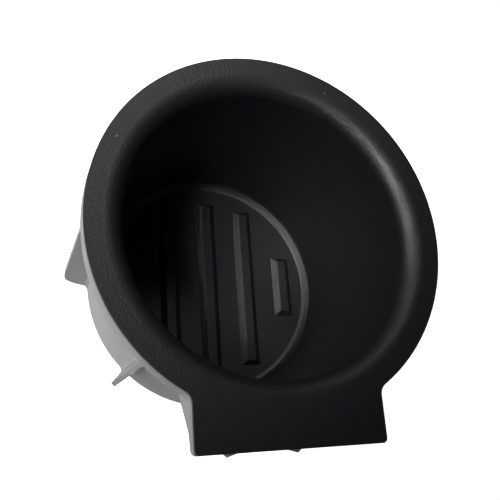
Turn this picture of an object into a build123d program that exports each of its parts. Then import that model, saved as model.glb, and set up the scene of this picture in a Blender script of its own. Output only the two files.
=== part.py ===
from build123d import *
from math import radians, sqrt, tan
import os

# All lengths are in millimetres, with +Z up and the tab towards -Y

# Inside of the cup
cup_floor_radius = 35.0
cup_mouth_radius = 37.0
cup_floor_cut = 1.8
cup_floor_ease = 0.6
rim_roll = 4.5

# Height and wall thicknesses
holder_height = 60.6
rim_thickness = 1.2
liner_wall = 1.3
liner_floor = 1.4
carrier_wall = 1.5
carrier_floor = 1.5
fit_gap = 0.1
nest_foot_cut = 1.5
nest_shoulder_cut = 2.0

# Outline of the rim and its tab, shared by both mouldings
rim_radius = 46.0
tab_width = 46.2
tab_reach = 52.3
tab_root_round = 3.0
tab_corner_round = 1.2

# Ribs on the floor of the cup, measured at the foot
rib_pitch = 12.7
rib_width = 6.2
rib_height = 1.45
rib_side_run = 1.75
rib_end_run = 1.3
rib_edge_round = 0.3
centre_rib_length = 55.8
side_rib_length = 51.4
outer_rib_length = 19.6

# Flange of the carrier: a plate with a skirt that runs out along the tab
flange_plate = 2.0
flange_root_cut = 0.6
skirt_depth = 4.9
skirt_wall = 1.6
tab_end_depth = 2.5
base_cut = 1.0

# Gussets under the sides of the tab
gusset_inset = 0.6
gusset_thickness = 1.6
gusset_rake = 38

# Fins on the outside of the carrier: deep wings and raked fins
fin_setback = 0.5
fin_thickness = 1.4
fin_root_cut = 0.9
wing_toe_height = 6.8
wing_toe_round = 11.0
fin_toe_height = 14.0
fin_toe_round = 0.8
fin_spread = 44.5

# Snap tongues under the end of the tab
tongue_spacing = 14.4
tongue_width = 9.4
tongue_thickness = 1.5
tongue_setback = 0.6
tongue_length = 20.3
barb_height = 3.0
barb_reach = 1.4
barb_lean = 2.3
barb_draft = 15

# Levels and offsets that follow from the sizes above
seat_height = holder_height - rim_thickness
cup_floor_height = carrier_floor + liner_floor
plate_underside = seat_height - flange_plate
carrier_inside = liner_wall + fit_gap
carrier_outside = carrier_inside + carrier_wall
flat_radius = (cup_mouth_radius + rim_roll + rim_radius) / 2
fin_reach = rim_radius - fin_setback
tab_root = sqrt(rim_radius**2 - (tab_width / 2) ** 2)
gusset_place = (tab_width - gusset_thickness) / 2 - gusset_inset
gusset_end = tab_reach - skirt_wall / 2
tongue_face = tab_reach - tongue_setback


def wall_radius(height, offset=0):
    """Radius of the cup's drafted wall at a height, moved out by an offset"""
    draft = (cup_mouth_radius - cup_floor_radius) / (holder_height - cup_floor_height)
    return cup_floor_radius + draft * (height - cup_floor_height) + offset


def cup_section(offset, foot, shoulder, top, foot_cuts, soften_shoulder, shoulder_size):
    """Half section of a cup that widens to the rim above its shoulder, with both corners softened"""
    foot_corner = (wall_radius(foot, offset), foot)
    shoulder_corner = (wall_radius(shoulder, offset), shoulder)
    with BuildSketch(Plane.XZ) as section:
        with BuildLine():
            Polyline(
                (0, foot),
                foot_corner,
                shoulder_corner,
                (flat_radius, shoulder),
                (flat_radius, top),
                (0, top),
                close=True,
            )
        make_face()
        soften_shoulder(section.vertices().sort_by_distance(shoulder_corner)[0], shoulder_size)
        # Each cut takes off the corners that the cut before it leaves
        corners = 1
        for cut in foot_cuts:
            chamfer(section.vertices().sort_by_distance(foot_corner)[:corners], cut)
            corners = 2 * corners
    return section.sketch


def rim_outline():
    """Outline of the rim: a circle with a square tab, blended at its root"""
    with BuildSketch() as outline:
        Circle(rim_radius)
        with Locations((0, -tab_reach / 2)):
            Rectangle(tab_width, tab_reach)
        fillet(outline.vertices().group_by(Axis.Y)[1], tab_root_round)
        fillet(outline.vertices().group_by(Axis.Y)[0], tab_corner_round)
    return outline.sketch


def fin_side(angle, toe_height, toe_round):
    """Side view of a fin at an angle round the cup, from inside the wall to its straight edge"""
    base_edge = wall_radius(0, carrier_outside) - base_cut / 2
    toe = (fin_reach, toe_height)
    with BuildSketch(Plane.XZ.rotated((0, 0, angle))) as side_view:
        with BuildLine():
            Polyline(
                (cup_floor_radius, plate_underside),
                (fin_reach, plate_underside),
                toe,
                (base_edge, base_cut / 2),
                (cup_floor_radius, base_cut / 2),
                close=True,
            )
        make_face()
        fillet(side_view.vertices().sort_by_distance(toe)[0], toe_round)
    return side_view.sketch


def fin_roots(cup):
    """The two long edges where the fin that was made last meets the cup's wall"""
    return cup.edges(Select.LAST).filter_by(GeomType.HYPERBOLA).sort_by(SortBy.LENGTH)[-2:]


# Liner: rim, rolled mouth, cup wall and ribbed floor in one moulding
with BuildPart() as liner:
    nest = cup_section(
        liner_wall,
        carrier_floor,
        seat_height,
        holder_height,
        [nest_foot_cut],
        chamfer,
        nest_shoulder_cut,
    )
    revolve(nest, axis=Axis.Z)
    with BuildSketch(Plane.XY.offset(seat_height)):
        add(rim_outline())
        Circle(flat_radius, mode=Mode.SUBTRACT)
    extrude(amount=rim_thickness)

    # Hollow of the cup, cut from above the rim so that the mouth rolls over
    mouth_top = holder_height + rim_roll
    hollow = cup_section(
        0,
        cup_floor_height,
        holder_height,
        mouth_top,
        [cup_floor_cut, cup_floor_ease],
        fillet,
        rim_roll,
    )
    revolve(hollow, axis=Axis.Z, mode=Mode.SUBTRACT)

    # Raised ribs, longest in the middle and shortest at the sides, with sloping sides and ends
    for step, length in (
        (-2, outer_rib_length),
        (-1, side_rib_length),
        (0, centre_rib_length),
        (1, side_rib_length),
        (2, outer_rib_length),
    ):
        with Locations((step * rib_pitch, 0, cup_floor_height)):
            Wedge(
                rib_width,
                rib_height,
                length,
                xmin=rib_side_run,
                zmin=rib_end_run,
                xmax=rib_width - rib_side_run,
                zmax=length - rib_end_run,
                rotation=(90, 0, 0),
                align=(Align.CENTER, Align.MIN, Align.CENTER),
            )
        rib_top = liner.faces(Select.LAST).sort_by(Axis.Z)[-1]
        fillet(rib_top.edges(), rib_edge_round)

# Carrier: the stiff outer cup with its flange, gussets, fins and snap tongues
with BuildPart() as carrier:
    with BuildSketch(Plane.XZ):
        with BuildLine():
            Polyline(
                (0, 0),
                (wall_radius(0, carrier_outside), 0),
                (wall_radius(plate_underside, carrier_outside), plate_underside),
                (0, plate_underside),
                close=True,
            )
        make_face()
    revolve(axis=Axis.Z)

    # Raked fins, with sloped roots at the wall
    for angle in (fin_spread, 180 - fin_spread, 180 + fin_spread, -fin_spread):
        extrude(fin_side(angle, fin_toe_height, fin_toe_round), fin_thickness / 2, both=True)
        chamfer(fin_roots(carrier), fin_root_cut)

    # Cut round the base, which also trims a fin that comes down to it
    base_corner = Vector(wall_radius(0, carrier_outside), 0)
    wall_up = Vector(wall_radius(base_cut, carrier_outside), base_cut) - base_corner
    with BuildSketch(Plane.XZ):
        with BuildLine():
            Polyline(
                base_corner - (base_cut, 0),
                base_corner,
                base_corner + wall_up.normalized() * base_cut,
                close=True,
            )
        make_face()
    revolve(axis=Axis.Z, mode=Mode.SUBTRACT)

    # Deep wing at each side, which runs out on the cut base
    for angle in (0, 180):
        extrude(fin_side(angle, wing_toe_height, wing_toe_round), fin_thickness / 2, both=True)
        chamfer(fin_roots(carrier), fin_root_cut)

    # Flange round the top of the cup
    flange = cup_section(
        carrier_outside,
        cup_floor_height,
        plate_underside,
        seat_height,
        [],
        chamfer,
        flange_root_cut,
    )
    revolve(flange, axis=Axis.Z)
    with BuildSketch(Plane.XY.offset(seat_height)):
        add(rim_outline())
        Circle(flat_radius, mode=Mode.SUBTRACT)
    extrude(amount=-flange_plate)

    # Skirt round the flange, cut away at a slant towards the end of the tab
    with BuildSketch(Plane.XY.offset(seat_height)):
        add(rim_outline())
        offset(amount=-skirt_wall, mode=Mode.SUBTRACT)
    extrude(amount=-skirt_depth)
    with BuildSketch(Plane.YZ):
        with BuildLine():
            Polyline(
                (-tab_root, seat_height - skirt_depth),
                (-tab_reach, seat_height - tab_end_depth),
                (-tab_reach, seat_height - skirt_depth),
                close=True,
            )
        make_face()
    extrude(amount=tab_width, both=True, mode=Mode.SUBTRACT)

    # Gussets under the sides of the tab, raked down to the wall
    for side in (-1, 1):
        with BuildSketch(Plane.YZ.offset(side * gusset_place)):
            with BuildLine():
                Polyline(
                    (-gusset_end, plate_underside),
                    (-gusset_end, seat_height - tab_end_depth),
                    (0, seat_height - tab_end_depth - gusset_end * tan(radians(gusset_rake))),
                    (0, plate_underside),
                    close=True,
                )
            make_face()
        extrude(amount=gusset_thickness / 2, both=True)

    # Snap tongues that hang from the end of the tab, each with a barb at its foot
    for side in (-1, 1):
        with BuildSketch(Plane.XY.offset(plate_underside)):
            with Locations((side * tongue_spacing / 2, tongue_thickness / 2 - tongue_face)):
                Rectangle(tongue_width, tongue_thickness)
        extrude(amount=-tongue_length)
        with BuildSketch(Plane.XY.offset(plate_underside - tongue_length + barb_height)):
            with BuildLine():
                Polyline(
                    (side * (tongue_spacing - tongue_width) / 2, tongue_thickness / 2 - tongue_face),
                    (side * (tongue_spacing / 2 + barb_lean), -tongue_face - barb_reach),
                    (side * (tongue_spacing + tongue_width) / 2, tongue_thickness / 2 - tongue_face),
                    close=True,
                )
            make_face()
        extrude(amount=-barb_height, taper=barb_draft)

    # Hollow that the liner sits in
    socket = cup_section(
        carrier_inside,
        carrier_floor,
        seat_height,
        holder_height,
        [nest_foot_cut],
        chamfer,
        nest_shoulder_cut,
    )
    revolve(socket, axis=Axis.Z, mode=Mode.SUBTRACT)

os.makedirs("parts", exist_ok=True)
liner.part.label = "liner"
export_step(liner.part, "parts/liner.step")
carrier.part.label = "carrier"
export_step(carrier.part, "parts/carrier.step")
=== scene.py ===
import math

import bmesh
import bpy
from mathutils import Matrix, Vector

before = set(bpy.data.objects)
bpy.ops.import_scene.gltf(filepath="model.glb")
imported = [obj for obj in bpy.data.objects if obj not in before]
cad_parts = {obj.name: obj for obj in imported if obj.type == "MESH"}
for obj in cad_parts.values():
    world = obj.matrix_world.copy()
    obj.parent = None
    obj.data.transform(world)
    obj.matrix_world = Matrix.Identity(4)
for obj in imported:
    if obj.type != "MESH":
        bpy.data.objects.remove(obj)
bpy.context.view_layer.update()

MM = 0.001


def linear(hex_colour):
    """The linear colour of an sRGB hex value"""
    channels = [int(hex_colour[i:i + 2], 16) / 255 for i in (1, 3, 5)]
    return [c / 12.92 if c <= 0.04045 else ((c + 0.055) / 1.055) ** 2.4 for c in channels] + [1.0]


def add_node(tree, kind, settings=None, links=None):
    """A new node with its settings, and with its sockets linked to the outputs given"""
    node = tree.nodes.new(kind)
    for name, value in (settings or {}).items():
        if isinstance(name, int) or name in node.inputs:
            node.inputs[name].default_value = value
        else:
            setattr(node, name, value)
    for name, output in (links or {}).items():
        tree.links.new(output, node.inputs[name])
    return node


def empty_material(name):
    """A material with no nodes yet"""
    material = bpy.data.materials.new(name)
    material.use_nodes = True
    material.node_tree.nodes.clear()
    return material


# Liner: thermoplastic rubber, moulded against a spark-eroded tool. A fine even grain spreads every
# reflection into a broad dull sheen over a near-black body
grained_black = empty_material("grained black thermoplastic rubber")
tree = grained_black.node_tree
place = add_node(tree, "ShaderNodeTexCoord").outputs["Object"]

# Spark-eroded grit is about 0.1 mm, drawn at 0.65 mm so that it shows
grain_pitch = 0.65 * MM
grain_depth = 0.12 * MM
grain = add_node(
    tree,
    "ShaderNodeTexNoise",
    {"Scale": 1 / grain_pitch, "Detail": 2.0, "Roughness": 0.6},
    {"Vector": place},
)
grain_relief = add_node(
    tree,
    "ShaderNodeBump",
    {"Strength": 1.0, "Distance": grain_depth},
    {"Height": grain.outputs["Fac"]},
)
liner_shader = add_node(
    tree,
    "ShaderNodeBsdfPrincipled",
    {"Base Color": linear("#0B0C0F"), "Roughness": 0.5, "IOR": 1.54},
    {"Normal": grain_relief.outputs["Normal"]},
)

# Grey lint on the liner: one speck on the cup's wall, one on the rolled mouth and two on the rim
lint_radius = 0.25 * MM
lint_places = (
    (29.0, 20.4, 14.5),
    (-38.6, 19.6, 60.6),
    (-3.8, 38.7, 57.5),
    (17.2, 38.5, 60.6),
)
lint_cover = None
for lint_place in lint_places:
    reach = add_node(
        tree,
        "ShaderNodeVectorMath",
        {"operation": "DISTANCE", 1: Vector(lint_place) * MM},
        {0: place},
    )
    speck = add_node(
        tree,
        "ShaderNodeMath",
        {"operation": "LESS_THAN", 1: lint_radius},
        {0: reach.outputs["Value"]},
    )
    if lint_cover is None:
        lint_cover = speck
    else:
        lint_cover = add_node(
            tree,
            "ShaderNodeMath",
            {"operation": "MAXIMUM"},
            {0: lint_cover.outputs[0], 1: speck.outputs[0]},
        )
lint = add_node(tree, "ShaderNodeBsdfDiffuse", {"Color": linear("#6A6A6C")})
linted_liner = add_node(
    tree,
    "ShaderNodeMixShader",
    None,
    {0: lint_cover.outputs[0], 1: liner_shader.outputs["BSDF"], 2: lint.outputs[0]},
)
add_node(tree, "ShaderNodeOutputMaterial", None, {"Surface": linted_liner.outputs[0]})
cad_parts["liner"].material_slots[0].material = grained_black

# Carrier: ABS, moulded in a plain tool. An even satin grey with a weak soft gloss
satin_grey = empty_material("satin grey abs")
tree = satin_grey.node_tree
carrier_shader = add_node(
    tree,
    "ShaderNodeBsdfPrincipled",
    {"Base Color": linear("#8E8E8E"), "Roughness": 0.5, "IOR": 1.54},
)
add_node(tree, "ShaderNodeOutputMaterial", None, {"Surface": carrier_shader.outputs["BSDF"]})
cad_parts["carrier"].material_slots[0].material = satin_grey

# Floor: matt white paper that the camera sees as white where the light reaches it. The glow and
# the surround are for the camera alone: no piece here is of metal or glass, and a white surround
# would wash out the sheen of the black
white_paper = empty_material("matt white paper")
tree = white_paper.node_tree
seen = add_node(tree, "ShaderNodeLightPath").outputs["Is Camera Ray"]
paper = add_node(tree, "ShaderNodeBsdfDiffuse", {"Color": linear("#E6E6E6")})
glow = add_node(tree, "ShaderNodeEmission", {"Color": linear("#FFFFFF"), "Strength": 0.93})
glowing_paper = add_node(
    tree, "ShaderNodeAddShader", None, {0: paper.outputs[0], 1: glow.outputs[0]}
)
floor_look = add_node(
    tree,
    "ShaderNodeMixShader",
    None,
    {0: seen, 1: paper.outputs[0], 2: glowing_paper.outputs[0]},
)
add_node(tree, "ShaderNodeOutputMaterial", None, {"Surface": floor_look.outputs[0]})

floor_reach = 3.0
sheet = bmesh.new()
bmesh.ops.create_grid(sheet, x_segments=1, y_segments=1, size=floor_reach)
floor_mesh = bpy.data.meshes.new("floor")
sheet.to_mesh(floor_mesh)
sheet.free()
floor_mesh.materials.append(white_paper)
floor = bpy.data.objects.new("floor", floor_mesh)
bpy.context.scene.collection.objects.link(floor)

# Studio: white to the camera, with a low even fill for everything else
world = bpy.data.worlds.new("studio")
bpy.context.scene.world = world
world.use_nodes = True
tree = world.node_tree
tree.nodes.clear()
seen = add_node(tree, "ShaderNodeLightPath").outputs["Is Camera Ray"]
fill = add_node(tree, "ShaderNodeBackground", {"Color": linear("#FFFFFF"), "Strength": 0.02})
white = add_node(tree, "ShaderNodeBackground", {"Color": linear("#FFFFFF"), "Strength": 1.0})
surround = add_node(
    tree, "ShaderNodeMixShader", None, {0: seen, 1: fill.outputs[0], 2: white.outputs[0]}
)
add_node(tree, "ShaderNodeOutputWorld", None, {"Surface": surround.outputs[0]})

# Lamps stand round a point on the cup's axis, at one distance in metres
lamp_centre = Vector((0, 0, 40 * MM))
lamp_distance = 0.5


def add_lamp(name, azimuth, elevation, power, size, aim, spread=180):
    """A soft lamp in a direction in degrees, with a grid that keeps its beam to a spread"""
    lamp = bpy.data.lights.new(name, "AREA")
    lamp.shape = "ELLIPSE"
    lamp.size, lamp.size_y = size
    lamp.energy = power
    lamp.spread = math.radians(spread)
    stand = bpy.data.objects.new(name, lamp)
    around = math.radians(azimuth)
    above = math.radians(elevation)
    away = Vector(
        (
            math.cos(above) * math.cos(around),
            math.cos(above) * math.sin(around),
            math.sin(above),
        )
    )
    stand.location = lamp_centre + lamp_distance * away
    stand.rotation_euler = (stand.location - Vector(aim) * MM).to_track_quat("Z", "Y").to_euler()
    bpy.context.scene.collection.objects.link(stand)


# Gridded softboxes, most of them aimed at the back of the rim, so that the tab stays dark
softbox_size = (0.13, 0.13)
back_of_rim = (-8, 30, 50)
behind_rim = (-8, 42, 50)
left_side = (-38, -8, 40)
add_lamp("left softbox", 175, 48, 0.0215, softbox_size, back_of_rim, spread=15)
add_lamp("high left softbox", 165, 57, 0.0088, softbox_size, back_of_rim, spread=15)
add_lamp("front left softbox", 195, 57, 0.041, softbox_size, behind_rim, spread=15)
add_lamp("back softbox", 90, 50, 0.0104, softbox_size, back_of_rim, spread=20)
add_lamp("side softbox", 165, 30, 0.024, softbox_size, left_side, spread=15)

# Strips close to the floor, lower than the rim, so that they light only the carrier
strip_size = (0.35, 0.05)
middle = (0, 0, 30)
add_lamp("front left strip", 206, -2, 0.92, strip_size, middle)
add_lamp("right strip", -20, -2, 1.6, strip_size, middle)
add_lamp("back strip", 75, -2, 1.0, strip_size, middle)

# Camera, placed and turned as the photograph was taken
view_from = Vector((-61.95, -52.79, 197.81)) * MM
view_to = Vector((4.48, 3.45, 30.0)) * MM
view_up = Vector((-0.04, 0.95, 0.30))
forward = (view_to - view_from).normalized()
right = forward.cross(view_up).normalized()
camera = bpy.data.cameras.new("camera")
camera.sensor_fit = "HORIZONTAL"
camera.sensor_width = 36.0
camera.lens = 47.26
camera.clip_start = 0.01
camera_object = bpy.data.objects.new("camera", camera)
camera_turn = Matrix((right, right.cross(forward), -forward)).transposed().to_4x4()
camera_object.matrix_world = Matrix.Translation(view_from) @ camera_turn
bpy.context.scene.collection.objects.link(camera_object)
bpy.context.scene.camera = camera_object
bpy.context.scene.view_settings.view_transform = "Standard"
